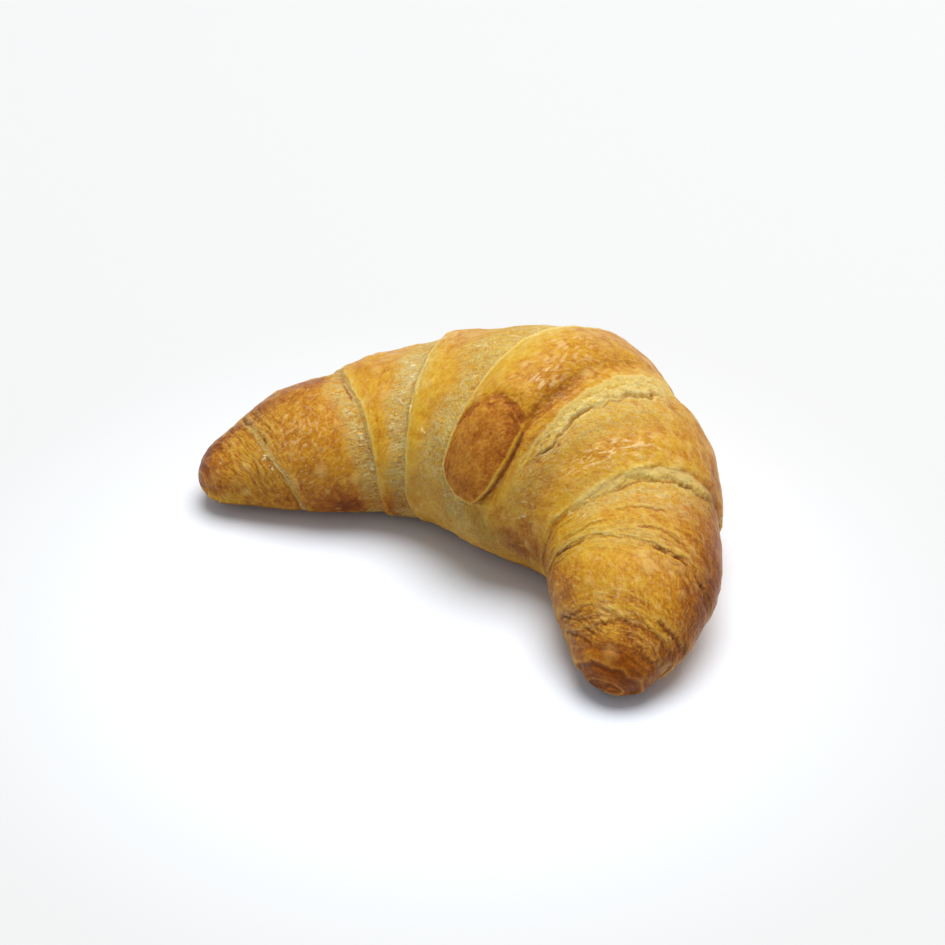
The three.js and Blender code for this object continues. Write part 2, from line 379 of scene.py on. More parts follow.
threads = [    # pale shreds that stand up along the edge they tore from
    {"path": [(204, -41.5), (214, -37.5), (217, -36.0)], "width": 0.5, "height": 0.5},
    {"path": [(226, -42.0), (232, -40.5), (236, -38.0), (242, -36.6)], "width": 0.8, "height": 0.6},
    {"path": [(232, -30), (236, -26.5), (239, -21), (243, -16)], "width": 0.45, "height": 0.6},
    {"path": [(240, -18.5), (246, -16.0), (254, -14.5)], "width": 0.8, "height": 0.6},
    {"path": [(225, -77), (236, -75.6), (252, -73.4), (262, -71)], "width": 0.5, "height": 0.5},
    {"path": [(205, -54.5), (224, -52.0), (246, -49.5), (262, -48)], "width": 0.7, "height": 0.4},
    {"path": [(176, -38), (190, -36.4), (206, -38.5)], "width": 0.8, "height": 0.4},
    {"path": [(214, 46), (220, 43.5), (226, 42.0)], "width": 0.5, "height": 0.5},
    {"path": [(246, 29), (254, 22), (256, 15)], "width": 0.35, "height": 0.4},
    {"path": [(254, 30), (262, 26), (266, 18)], "width": 0.35, "height": 0.4},
]


# distance from the path, how far inside its two ends, way out along the arm, millimetres round
def alongPath(path):
    pathTurns, pathRuns = zip(*path)
    first, last = pathTurns[0], pathTurns[-1]
    inside = smooth(first - 3, first + 3, turnRow) * smooth(last + 3, last - 3, turnRow)
    middle = path[len(path) // 2][1]
    millimetres = turnRow * math.radians(1) * np.interp(middle, runs, halfWidth[:, 0])
    away = run - curveThrough(pathTurns, pathRuns, turnRow)
    return away, inside, 1.0 if middle > 0 else -1.0, millimetres


def addRoll(roll):
    away, _, _, _ = alongPath(roll["path"])
    first, last = roll["path"][0][0], roll["path"][-1][0]
    inside = smooth(first - 30, first + 10, turnRow) * smooth(last + 35, last - 10, turnRow)
    skin["relief"] += roll["height"] * inside * reliefShare * bump(away / roll["reach"], 1.0)


def addTear(tear, key):
    away, _, way, along = alongPath(tear["path"])
    first, last = tear["path"][0][0], tear["path"][-1][0]
    inside = smooth(first - 4, first + 16, turnRow) * smooth(last + 5, last - 22, turnRow)
    jagged = tear["ragged"] * layeredNoise(along / 3.2, key, 0.5, 91, 4, 0.6)
    offset = away * way - 0.6 * jagged
    uneven = layeredNoise(along / 6, key, 4.5, 93, 3, 0.4)
    width = tear["width"] * (0.5 + 0.5 * inside) + 1.3 * tear["ragged"] * uneven
    slope = tear["lip"] * smooth(-0.25, 0.25, offset) + tear["drop"] * smooth(0.2, width, offset)
    skin["relief"] -= inside * slope * (1 - smooth(width + 0.5, width + 6, offset))
    gape = inside * np.clip(0.5 + 1.2 * gradientNoise(along / 7, key, 7.5, 94), 0.1, 1)
    opening = 0.5 + 0.5 * np.clip(gradientNoise(along / 2.5, key, 8.5, 96), 0, 1)
    skin["relief"] -= tear["depth"] * gape * bump(offset - width, opening)
    skin["slide"] += way * 0.4 * inside * bump(offset - width + 1.1, 0.7)
    crumb = inside * smooth(-0.2, 0.3, offset) * (1 - smooth(width, width + 0.6, offset))
    mark("torn", crumb)
    mark("fray", inside * bump(offset + 0.1, 0.45))
    mark("fray", 0.7 * gape * bump(offset - width - 1.0, 0.4))
    # painted shade down in the crevice
    mark("creviceShade", 0.7 * gape * bump(offset - width - 0.1, 0.7 * opening))
    pulled = inside * smooth(-0.5, 0.5, offset) * (1 - smooth(width + 3, width + 8, offset))
    mark("bare", 0.7 * pulled)


def addSlit(slit, key):
    away, inside, way, along = alongPath(slit["path"])
    jagged = 0.45 * layeredNoise(along / 2.2, key, 0.5, 95, 4, 0.65)
    opened = inside * np.clip(0.75 + 0.6 * gradientNoise(along / 4, key, 2.5, 97), 0.1, 1.2)
    cut = opened * bump(away - jagged, slit["width"])
    skin["relief"] -= 0.7 * slit["depth"] * cut * reliefShare ** 0.5
    # painted shade in the slit
    mark("creviceShade", min(1.0, slit["depth"]) * cut)
    skin["fray"] += 0.25 * opened * bump(away - jagged + way * 0.8, 0.35)


def addThread(thread, key):
    away, inside, _, along = alongPath(thread["path"])
    jagged = 0.9 * layeredNoise(along / 1.5, key, 0.5, 99, 3, 0.65)
    broken = inside * np.clip(0.2 + 1.5 * skinNoise(1.6, 101, 3, 0.7, key), 0, 1)
    line = broken * bump(away - jagged, thread["width"])
    skin["relief"] += 0.7 * thread["height"] * line
    mark("shred", np.clip(1.1 * line, 0, 1))


for roll in rolls:
    addRoll(roll)
for number, tear in enumerate(tears):
    addTear(tear, 3.7 * number)
for number, slit in enumerate(slits):
    addSlit(slit, 2.9 * number)
for number, thread in enumerate(threads):
    addThread(thread, 4.3 * number)
print("rolls, tears, slits and threads done")


side = np.where(run < 0, -1.0, 1.0)
along = (270 - turn + 360 * layer["index"]) * 0.5
across = run
sheet = 3 * layer["index"] * np.tanh(run / 6)
fibreWay = math.radians(75) * smooth(2, 14, run)     # fibres run along the left arm, round the right one
strand = (across * np.cos(fibreWay) + along * np.sin(fibreWay),
          along * np.cos(fibreWay) - across * np.sin(fibreWay), sheet)
depthIn = np.where(layer["index"] > 0, layer["fromInner"], -layer["toOuter"])
under = smooth(58, 32, np.abs((turn + 180) % 360 - 180))     # the face that lay on the tray


def spot(atRun, atTurn, runReach, turnReach):    # a soft round patch, 1 at its middle
    turnAway = (turn - atTurn + 180) % 360 - 180
    return np.exp(-((run - atRun) / runReach) ** 2 - (turnAway / turnReach) ** 2)


# run, turn, reach along run, reach along turn, how bare: places the glaze never reached
bareSpots = [
    (24, 178, 4.0, 44, 0.75), (24, 236, 8, 20, 0.7), (45, 160, 2.5, 30, 0.4), (54, 180, 3, 26, 0.45),
    (0, 287, 26, 13, 0.6), (-25, 262, 10, 16, 0.5), (40, 205, 4, 14, 0.5),
]
for *place, more in bareSpots:
    mark("bare", more * spot(*place) * (layer["index"] > 0))

# run, turn, reach along run, reach along turn, height
swellings = [
    (-76, 150, 7, 30, 0.6), (-60, 150, 7, 22, -0.4), (-43, 152, 8, 22, -0.9), (-50, 152, 4, 22, 0.5),
    (-27, 155, 7, 20, -0.8), (0, 150, 15, 20, -1.4), (34, 108, 12, 24, -0.8), (50, 97, 5, 16, 0.8),
    (57, 88, 7, 22, 0.5), (68, 82, 6, 22, 1.2), (-86, 275, 5, 34, -0.6), (-40, 305, 34, 16, 0.9),
    (24, 300, 12, 16, -0.6), (60, 280, 10, 20, 0.3),
]


def endOf(end):                        # where a place lies on the end of a horn, and how much it faces out
    arm = end["arm"]
    outward = (plainX - centreX) * outX + (plainY - centreY) * outY - end["shift"][0]
    upward = plainZ - centreZ - end["shift"][1]
    nearEnd = smooth(arm["length"] - 16, arm["length"] - 8, arm["side"] * run)
    reach = np.hypot(outward, 1.15 * upward)
    return outward, upward, reach, nearEnd, nearEnd * smooth(end["within"], end["within"] * 0.75, reach)


# The end of each horn shows the rolled dough as a spiral. shift: its middle, outwards and up; pitch:
# from one turn to the next; start: where it starts, in turns; within: its radius; step: its relief.
rolledEnds = [
    {"arm": rightArm, "shift": (-0.2, -2.9), "pitch": 4.4, "start": 0.45, "within": 13.0, "step": 0.9},
    {"arm": leftArm, "shift": (-0.8, -0.5), "pitch": 3.0, "start": 0.3, "within": 8.0, "step": 0.4},
]
fineRelief = {             # heights in millimetres
    "lumps": 0.6,
    "wrinkles": 0.13,
    "pores": 0.20,         # in pale and torn dough
    "sheets": 0.20,        # torn crumb, in sheets along the tear
    "shreds": 0.14,
    "grain": 0.08,
    "scales": 0.16,        # raised pale scales, coloured as a painted highlight
    "flakes": ((4, 0.42, 61), (9, 0.24, 63)),      # how many across a layer, height, seed
}


def addSurfaceRelief():
    calm = 1 - 0.9 * np.maximum(endOf(rolledEnds[0])[4], endOf(rolledEnds[1])[4])
    calm = calm * (1 - 0.85 * spot(10.5, 175, 5, 45))
    skin["relief"] += fineRelief["lumps"] * skinNoise(15, 51, 3) * reliefShare
    skin["relief"] += sum(more * spot(*place) for *place, more in swellings)
    bends = 1.6 * skinNoise(9, 55)
    wrinkles = layeredNoise((across + bends) / 1.2, along / 10, sheet, 57, 3, 0.6)
    nearEdge = bump(layer["toOuter"], 4) + bump(layer["fromInner"] - 2, 4)
    nearTip = smooth(64, 72, run) + smooth(68, 78, -run)
    lined = calm * np.clip(0.15 + 0.7 * nearEdge + 0.9 * nearTip, 0, 1.3) * (1 - 0.8 * skin["bare"])
    skin["relief"] += fineRelief["wrinkles"] * lined * wrinkles * reliefShare
    toTip = np.where(run < 0, leftArm["length"], rightArm["length"]) + 2 - np.abs(run)
    toOuter = np.minimum(layer["toOuter"], toTip)
    share = layer["fromInner"] / (layer["fromInner"] + toOuter)
    warp = 0.35 * skinNoise(9, 59, 3)
    strong = calm * np.clip(0.8 * nearTip + 0.4 * nearEdge + flaky, 0, 1)
    strong = strong * (layer["index"] > 0) * (1 - skin["bare"])
    cracked = np.zeros(run.shape)
    for count, size, seed in fineRelief["flakes"]:
        phase = share * count + warp * count / 4
        part = phase - np.floor(phase)
        shown = np.clip(0.4 + 1.3 * skinNoise(6, seed), 0, 1) * strong
        flake = smooth(0.08, 0.7, part) - smooth(0.93, 1.0, part) - 0.4
        skin["relief"] += size * shown * flake * reliefShare
        cracked = np.maximum(cracked, shown * (bump(part - 0.03, 0.04) + bump(part - 1.0, 0.03)))
        mark("fray", 0.3 * shown * bump(part - 0.9, 0.05))
    pores = np.abs(skinNoise(1.1, 67, 3, 0.6))
    skin["relief"] -= fineRelief["pores"] * (skin["bare"] + 0.6 * skin["torn"]) * (pores - 0.25)
    sheets = layeredNoise(across / 0.65, along / 2.6, sheet, 69, 3, 0.65)
    skin["relief"] += fineRelief["sheets"] * skin["torn"] * sheets
    # painted shade in the pits between crumb sheets
    mark("creviceShade", 0.3 * skin["torn"] * smooth(0.3, 0.8, -sheets))
    mark("fray", 0.8 * skin["torn"] * smooth(0.1, 0.6, sheets))
    shreds = layeredNoise(strand[0] / 2.6, strand[1] / 0.9, sheet, 73, 3, 0.6)
    skin["relief"] += fineRelief["shreds"] * skin["bare"] * (1 - skin["torn"]) * shreds
    grain = skinNoise(2.6, 71, 3, 0.6)
    skin["relief"] += fineRelief["grain"] * grain * (1 - under)
    return cracked, calm * np.clip(0.25 * nearEdge + 0.8 * nearTip, 0, 1) * (1 - skin["bare"])


# run, turn, reach along run, reach along turn, how much the crust flakes there
flakySpots = [(52, 170, 7, 50, 0.8), (50, 235, 5, 22, 0.8), (-80, 200, 5, 60, 0.8), (58, 115, 10, 30, 0.5)]
flaky = sum(more * spot(*place) for *place, more in flakySpots)
cracked, lined = addSurfaceRelief()


def addTongueFold():                   # wrinkled fold where the glossy tongue turns dark and matte
    first = tongue["bakedFrom"] + tongue["foldCurve"] * (run - tongue["foldRun"]) ** 2
    wave = 0.9 * layeredNoise(run / 5, 7.5, 1.5, 43, 3)
    past = (turn - first) * math.radians(1) * halfWidth + wave
    onTongue = smooth(-0.2, 1.2, layer["toOuter"]) * (layer["index"] == 0)
    wrinkled = layeredNoise(run / 4, past / 1.5, 3.5, 45, 3, 0.6)
    near = bump(past - 1.5, 3.2)
    fold = 0.4 * near * wrinkled - 0.35 * bump(past, 1.4) + 0.6 * bump(past + 3.6, 3.0)
    skin["relief"] += onTongue * fold
    margin = np.where(run < 0, smooth(0.9, 1.9, layer["toOuter"]), smooth(0.1, 0.8, layer["toOuter"]))
    wall = (run > 0) * (layer["index"] == 1) * bump(layer["fromInner"], 0.9)
    wall = 0.9 * wall * smooth(218, 226, turn) * smooth(267, 261, turn)
    matte = margin * onTongue * smooth(-1.6, 1.4, past + 0.7 * wrinkled)
    return np.maximum(matte, wall), onTongue * bump(past - 0.8, 1.0)


tongueDark, foldDark = addTongueFold()
# painted shade in the fold's crease
mark("creviceShade", 0.15 * foldDark)
tongueLip = (run < -1) * (layer["index"] == 0) * smooth(155, 175, turn) * smooth(268, 258, turn)
lipWander = 0.25 * layeredNoise(turnRow / 7, 2.5, 6.5, 49, 3)
lipFray = (0.3 + lipWander) * tongueLip * bump(layer["toOuter"] - 0.5 - lipWander, 0.45)
mark("fray", lipFray)
lipPale = 0.95 * tongueLip * smooth(4.6, 1.2, layer["toOuter"] + 3 * lipWander)
mark("shoulder", lipPale)


def addRolledEnd(end):
    outward, upward, reach, nearEnd, onEnd = endOf(end)
    turned = np.arctan2(upward, outward) / (2 * math.pi)
    uneven = 0.22 * skinNoise(7, 47, 4, 0.55)
    rolled = reach / end["pitch"] - turned + end["start"] + uneven
    for leaves, weight, narrow in ((1, 1.0, 1.0), (3, 0.22, 2.0)):     # the roll, then the leaves in it
        share = leaves * rolled - np.floor(leaves * rolled)
        broken = np.clip(0.85 + 0.7 * skinNoise(6, 48 + leaves), 0.2, 1.2)
        shown = onEnd * weight * broken
        rise = smooth(0, 0.06 * narrow, share) - smooth(0.1, 1.0, share) - 0.4
        skin["relief"] += end["step"] * shown * rise
        mark("fray", 0.25 * shown * bump(share - 0.10, 0.04 * narrow))
        seam = bump(share - 0.99, 0.03 * narrow) + bump(share, 0.03 * narrow)
        # painted shade in the seams between the turns
        mark("creviceShade", 0.7 * shown * seam)
    slit = nearEnd * bump(upward + 0.12 * outward, 0.6) * bump(outward, 2.8)
    skin["relief"] -= 1.4 * slit
    # painted shade in the slit
    mark("creviceShade", slit)


for end in rolledEnds:
    addRolledEnd(end)
print("tongue fold and rolled ends done")

skin["slide"] -= 1.1 * smooth(79, 89, -run)          # the left tip reaches a little further

blisters = {"count": 520, "radius": (0.4, 1.7), "height": 0.2, "seed": 5}     # height over radius


def addBlisters():
    rng = np.random.default_rng(blisters["seed"])
    blistered = np.zeros(run.shape)
    runStep = float(np.median(np.diff(runs)))
    for _ in range(blisters["count"]):
        row = rng.integers(20, len(runs) - 20)
        column = rng.integers(0, len(turns))
        radius = rng.uniform(*blisters["radius"]) * rng.uniform(0.5, 1)
        shown = rng.uniform(0.3, 1)
        if under[row, column] > 0.3 or skin["bare"][row, column] > 0.4 or tongueDark[row, column] > 0.3:
            continue
        columnStep = float(halfWidth[row, 0]) * math.radians(360 / len(turns))
        rowsOut = int(radius * 2.2 / runStep) + 1
        columnsOut = min(int(radius * 2.2 / columnStep) + 1, len(turns) // 3)
        rows = np.arange(max(row - rowsOut, 0), min(row + rowsOut, len(runs)))
        columns = np.arange(column - columnsOut, column + columnsOut + 1)
        dx = (rows - row)[:, None] * runStep
        dy = (columns - column)[None, :] * columnStep * 0.8
        dome = np.exp(-((dx * dx + dy * dy) / radius ** 2) ** 1.6)
        window = np.ix_(rows, columns % len(turns))
        skin["relief"][window] += blisters["height"] * radius * dome * reliefShare[rows]
        blistered[window] = np.maximum(blistered[window], dome * shown)
    return blistered


# run, turn, reach along run, reach along turn, how strongly raised pale scales show, coloured as a painted
# highlight
highlightScaleSpots = [
    (32, 190, 3.2, 26, 1.0), (42, 160, 4, 20, 0.5), (4, 172, 6, 14, 0.5), (7, 196, 3, 8, 0.9),
    (-29, 162, 3, 16, 0.6), (70, 195, 4, 20, 0.25), (-66, 215, 7, 26, 0.4), (60, 160, 8, 22, 0.15),
    (14, 180, 2, 40, 0.3),
]


def addHighlightScales():
    shown = sum(more * spot(*place) for *place, more in highlightScaleSpots)
    flakes = layeredNoise(across / 0.9, along / 2.8, sheet, 77, 3, 0.5)
    highlightScales = np.clip(shown, 0, 1) * smooth(0.12, 0.42, flakes)
    skin["relief"] += fineRelief["scales"] * highlightScales
    return highlightScales


blistered = addBlisters()
highlightScales = addHighlightScales()
# painted shade and light: how far each place lies below (darker) or above (paler) the relief round it
paintedReliefShade = np.clip((blur(blur(skin["relief"], 4, 3), 4, 3) - skin["relief"]) / 0.5, -1, 1)
print("fine relief done")


bakes = {                  # 0 is pale dough and 1 is nearly burnt
    "left": [0.54, 0.44, 0.46, 0.58, 0.54],        # each layer, from the tongue outwards
    "right": [0.54, 0.44, 0.50, 0.51, 0.62],
    "bare": 0.20, "shoulder": 0.22, "torn": 0.02, "tongueTip": 0.63, "under": 0.74,
    "tongueRim": 0.13, "back": 0.08, "crackShadeBake": 0.12,       # this much more than the rest; in cracks it is painted shade
    "rightHorn": 0.10, "leftHorn": 0.26,
}
# run, turn, reach along run, reach along turn, how much more (or less) it is baked. On the right arm,
# the spots on the outer side (turn below 140) and the low front (turn 260 and past) are painted shade.
bakeAndShadeSpots = [
    (-55, 293, 8, 15, 0.40), (-40.5, 294, 5, 14, 0.40), (-68, 290, 10, 26, 0.12), (-88, 158, 5, 26, 0.20),
    (-88, 298, 4, 22, -0.30), (-79, 168, 6, 14, 0.08), (-60, 159, 6, 13, 0.13), (-28, 200, 4, 14, -0.08),
    (46, 228, 6, 16, -0.14), (30, 238, 6, 12, 0.10), (48, 136, 8, 20, 0.08), (58, 105, 8, 16, 0.12),
    (65, 240, 5, 12, 0.10), (26, 285, 8, 10, 0.08), (14, 202, 3, 12, 0.10), (20, 219, 3.5, 12, 0.22),
    (-4, 202, 3, 14, -0.12), (10, 222, 4, 14, 0.12), (14, 190, 2, 18, 0.08), (20, 196, 3, 12, -0.12),
    (32, 232, 5, 18, 0.08), (74, 90, 5, 14, 0.12), (-80, 161, 6, 12, 0.11), (74, 195, 3, 14, -0.18),
    (72, 278, 5, 10, -0.17), (-5, 185, 3, 26, -0.10), (23, 139, 7, 14, 0.12), (35, 118, 7, 12, 0.12),
    (62, 131, 5, 12, 0.12), (38, 180, 4, 14, -0.09), (32, 260, 5, 12, 0.08), (24, 286, 10, 16, 0.26),
    (38, 272, 12, 14, 0.20), (60, 262, 14, 16, 0.14), (46, 112, 16, 22, 0.18), (62, 95, 10, 22, 0.20),
    (70, 110, 8, 30, 0.10), (-29, 165, 4, 22, 0.06), (-34, 192, 4, 26, -0.20), (-47, 175, 5, 26, 0.03),
    (-52, 205, 3, 26, -0.08), (-3, 172, 6, 24, -0.18), (54, 206, 7, 26, -0.19), (62, 235, 6, 16, 0.10),
    (-72, 160, 10, 20, 0.10), (9, 200, 3, 16, 0.08), (12.0, 184, 2.4, 24, 0.08), (21, 224, 4, 14, 0.17),
    (30, 190, 4, 26, 0.06), (-66, 150, 14, 12, 0.10),
]
lemonTint = (1.0, 0.965, 0.66)
# painted shade: darkens dough turned away from the light
paintedShadeTint = (0.68, 0.66, 0.62)
rustTint = (1.04, 0.86, 0.50)
# char on the horn end and under the body; painted shade on the right arm's outer side
charAndShadeTint = (0.72, 0.56, 0.32)
# run, turn, reach along run, reach along turn, tint over the dough, how strong it is
tintSpots = [
    (-47, 236, 5, 28, lemonTint, 0.6), (-34, 235, 5, 30, lemonTint, 0.8),
    (-15, 225, 8, 50, lemonTint, 0.5), (-6, 190, 3, 26, lemonTint, 0.9), (15, 190, 3, 40, lemonTint, 0.8),
    (38, 172, 3, 46, lemonTint, 0.7), (16, 235, 5, 24, lemonTint, 0.7), (30, 240, 12, 26, lemonTint, 0.4),
    (44, 230, 6, 26, lemonTint, 0.5), (-16, 180, 8, 40, lemonTint, 0.4), (24, 180, 6, 50, lemonTint, 0.3),
    (-53, 292, 9, 15, rustTint, 0.5), (80, 180, 5, 150, rustTint, 0.4), (-88, 180, 6, 150, rustTint, 0.5),
    (46, 116, 18, 26, charAndShadeTint, 0.85), (62, 100, 12, 24, charAndShadeTint, 0.7), (81, 180, 4, 150, charAndShadeTint, 1.0),
    (10, 286, 22, 16, paintedShadeTint, 0.3), (-40, 270, 8, 20, paintedShadeTint, 0.3),
    (-54, 200, 8, 60, rustTint, 0.3), (-15, 264, 14, 12, paintedShadeTint, 0.25),
    (-48, 289, 13, 14, rustTint, 0.8), (-46, 286, 9, 10, charAndShadeTint, 0.4), (12, 196, 3, 24, paintedShadeTint, 0.3),
    (-72, 280, 12, 18, rustTint, 0.4),
]


def tintLevels():
    levels = [np.ones(run.shape) for _ in range(3)]
    # painted shade: the low front, turned down towards the floor, is darkened
    paintedFrontShade = smooth(232, 282, turn) * smooth(352, 325, turn)
    painted = [(spot(*place), colour, strength) for *place, colour, strength in tintSpots]
    for shown, colour, strength in [*painted, (paintedFrontShade, paintedShadeTint, 0.75)]:
        for level, part in zip(levels, colour):
            level *= 1 + (part - 1) * strength * shown
    levels[1] *= 1 - 0.07 * tongueDark              # the matte tongue is redder and duller
    levels[2] *= 1 + 0.5 * tongueDark
    return levels


def bakeLevels():
    baked = np.zeros(run.shape)
    for number in range(5):
        chosen = np.where(side < 0, bakes["left"][number], bakes["right"][number])
        baked = np.where(layer["index"] == number, chosen, baked)
    baked = blur(baked, 2, 2)
    baked += (bakes["bare"] - baked) * skin["bare"] * 0.85 * (1 - tongueDark)
    baked += (bakes["shoulder"] - baked) * skin["shoulder"] * 0.55 * (1 - tongueDark)
    baked += (bakes["torn"] - baked) * skin["torn"]
    rimmed = bump(layer["toOuter"], 1.8) + 0.7 * foldDark + 0.5 * spot(-10, 257, 6, 5)
    baked += (bakes["tongueTip"] + bakes["tongueRim"] * rimmed - baked) * tongueDark
    for *place, more in bakeAndShadeSpots:
        baked += more * spot(*place)
    baked += bakes["back"] * smooth(120, 80, turn) * smooth(20, 60, turn)
    baked += (bakes["under"] - baked) * under
    low = smooth(-0.2, -0.8, np.sin(angle))
    baked += (bakes["rightHorn"] + 0.20 * low) * smooth(68, 78, run)
    baked += bakes["rightHorn"] * smooth(76, 80, run)
    baked += (bakes["leftHorn"] - 0.2 * low) * smooth(83, 91, -run)
    # painted shade: cracks and crevices are darkened
    return np.clip(baked + bakes["crackShadeBake"] * skin["creviceShade"], 0, 1)


baked = bakeLevels()
tint = tintLevels()
wash = np.clip(1 - 1.1 * skin["bare"] - 0.6 * skin["fray"] - 0.8 * tongueDark, 0, 1) * (1 - under)
wash *= 1 - 0.7 * smooth(258, 285, turn)             # the low front got little egg wash
print("baking painted")


def skinPoints():
    slideX, slideY = outY, -outX                    # unit way along the spine
    radius = halfWidth + skin["relief"] * np.clip(halfWidth / 6, 0, 1)         # none at the very tips
    slide = skin["slide"]
    x = centreX + radius * np.cos(angle) * outX + slide * slideX
    y = centreY + radius * np.cos(angle) * outY + slide * slideY
    z = centreZ + radius * body["heightRatio"] * np.sin(angle)
    trayRough = 0.12 * np.abs(layeredNoise(plainX / 3, plainY / 3, 0.5, 83, 2))
    z = np.where(z < 0, np.minimum(trayRough, -z * 0.4), z)
    return np.stack([x, y, z], axis=-1)


def tipPoint(arm):
    x, y, centre, _, outwardX, outwardY = sectionsOf(arm, np.array([arm["length"]]))[0]
    slide = skin["slide"][0 if arm["side"] < 0 else -1].mean()
    return [x + slide * outwardY, y - slide * outwardX, centre]


def placeOnFrame(points):                           # the plain body's box is centred on the CAD box
    low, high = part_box("croissant")
    middle = [(a + b) / 2 / metre for a, b in zip(low, high)]
    shiftX = middle[0] - (plainX.min() + plainX.max()) / 2
    shiftY = middle[1] - (plainY.min() + plainY.max()) / 2
    return (points + np.array([shiftX, shiftY, 0])) * metre


def gridFaces():
    rows, columns = len(runs), len(turns)
    index = np.arange(rows * columns).reshape(rows, columns)
    following = np.roll(index, -1, axis=1)
    quads = np.stack([index[:-1], following[:-1], following[1:], index[1:]], axis=-1).reshape(-1, 4)
    leftFan = np.stack([np.full(columns, rows * columns), following[0], index[0]], axis=-1)
    rightFan = np.stack([np.full(columns, rows * columns + 1), index[-1], following[-1]], axis=-1)
    return quads, np.concatenate([leftFan, rightFan])


def cornersUv(*corners):                            # the corners of each face, one face after the other
    pairs = [np.stack(np.broadcast_arrays(u, v), -1) for u, v in corners]
    return np.stack(pairs, -2).reshape(-1, 2)


def gridUv():                                       # u along the croissant, v round it
    u = (runs - runs[0]) / (runs[-1] - runs[0]) * 0.98 + 0.01
    v = np.arange(len(turns) + 1) / len(turns)
    middle = (v[:-1] + v[1:]) / 2
    u0, u1 = u[:-1, None], u[1:, None]
    v0, v1 = v[None, :-1], v[None, 1:]
    quads = cornersUv((u0, v0), (u0, v1), (u1, v1), (u1, v0))
    leftFan = cornersUv((0.0, middle), (u[0], v[1:]), (u[0], v[:-1]))
    rightFan = cornersUv((1.0, middle), (u[-1], v[:-1]), (u[-1], v[1:]))
    return np.concatenate([quads, leftFan, rightFan])


def makeMesh(name):
    points = np.concatenate([skinPoints().reshape(-1, 3), [tipPoint(leftArm), tipPoint(rightArm)]])
    points = placeOnFrame(points)
    quads, fans = gridFaces()
    mesh = bpy.data.meshes.new(name)
    mesh.vertices.add(len(points))
    mesh.vertices.foreach_set("co", points.astype(np.float32).ravel())
    loops = np.concatenate([quads.ravel(), fans.ravel()]).astype(np.int32)
    mesh.loops.add(len(loops))
    mesh.loops.foreach_set("vertex_index", loops)
    starts = np.concatenate([np.arange(len(quads)) * 4, len(quads) * 4 + np.arange(len(fans)) * 3])
    mesh.polygons.add(len(starts))
    mesh.polygons.foreach_set("loop_start", starts.astype(np.int32))
    mesh.update(calc_edges=True)
    mesh.uv_layers.new(name="OFBake").data.foreach_set("uv", gridUv().astype(np.float32).ravel())
    mesh.polygons.foreach_set("use_smooth", np.ones(len(starts), dtype=bool))
    return mesh


def addAttribute(mesh, name, values):
    ends = [values[0].mean(), values[-1].mean()]
    attribute = mesh.attributes.new(name, "FLOAT", "POINT")
    attribute.data.foreach_set("value", np.concatenate([values.ravel(), ends]).astype(np.float32))


def addVectorAttribute(mesh, name, parts):
    parts = [np.concatenate([p.ravel(), [p[0].mean(), p[-1].mean()]]) for p in np.broadcast_arrays(*parts)]
    attribute = mesh.attributes.new(name, "FLOAT_VECTOR", "POINT")
    attribute.data.foreach_set("vector", np.stack(parts, -1).astype(np.float32).ravel())


croissantMesh = makeMesh("croissantSkin")
for name, values in {
        "baked": baked,
        "wash": wash,
        "bare": skin["bare"],
        "fray": np.clip(skin["fray"], 0, 1),
        "blister": blistered,
        # painted shade in cracks and crevices
        "crackShade": np.clip(0.6 * cracked + skin["creviceShade"], 0, 1),
        "paintedReliefShade": paintedReliefShade,
        "shred": skin["shred"],
        "lined": np.clip(lined + 0.6 * flaky, 0, 1) * (1 - tongueDark),
        "scale": highlightScales,
        "roomy": np.broadcast_to(np.clip((halfWidth - 7) / 8, 0, 1), run.shape)}.items():
    addAttribute(croissantMesh, name, values)
for name, parts in {
        "tint": tint,
        "dough": (0.8 * across - 0.6 * along, 0.6 * across + 0.8 * along, sheet),
        "leaf": (depthIn, along, sheet),
        "strand": strand}.items():
    addVectorAttribute(croissantMesh, name, parts)
croissant = bpy.data.objects.new("bakedCroissant", croissantMesh)
bpy.context.scene.collection.objects.link(croissant)
print("mesh made:", len(croissantMesh.polygons), "faces")


def nodeIn(tree, kind, **settings):    # a setting is a property of the node or the name of a socket
    node = tree.nodes.new(kind)
    for name, value in settings.items():
        if hasattr(node, name):
            setattr(node, name, value)
        else:
            node.inputs[name].default_value = value
    return node


def attributeIn(tree, name, output="Fac"):
    return nodeIn(tree, "ShaderNodeAttribute", attribute_name=name).outputs[output]


def mathIn(tree, operation, first, second=None, clamp=False):
    node = nodeIn(tree, "ShaderNodeMath", operation=operation, use_clamp=clamp)
    for socket, value in zip(node.inputs, (first, second)):
        if value is None:
            continue
        if isinstance(value, (int, float)):
            socket.default_value = value
        else:
            tree.links.new(value, socket)
    return node.outputs[0]


def plus(tree, first, second, clamp=False):
    return mathIn(tree, "ADD", first, second, clamp)


def times(tree, first, second, clamp=False):
    return mathIn(tree, "MULTIPLY", first, second, clamp)


def noiseIn(tree, vector, scale, detail, roughness, distortion=0.0):
    node = nodeIn(tree, "ShaderNodeTexNoise", Scale=scale, Detail=detail, Roughness=roughness,
                  Distortion=distortion)
    tree.links.new(vector, node.inputs["Vector"])
    return node.outputs["Fac"]


def stretched(tree, vector, scale):
    node = nodeIn(tree, "ShaderNodeMapping", Scale=scale)
    tree.links.new(vector, node.inputs["Vector"])
    return node.outputs["Vector"]


def rangeIn(tree, value, fromLow, fromHigh, toLow, toHigh):
    ends = {"From Min": fromLow, "From Max": fromHigh, "To Min": toLow, "To Max": toHigh}
    node = nodeIn(tree, "ShaderNodeMapRange", clamp=True, **ends)
    tree.links.new(value, node.inputs["Value"])
    return node.outputs["Result"]


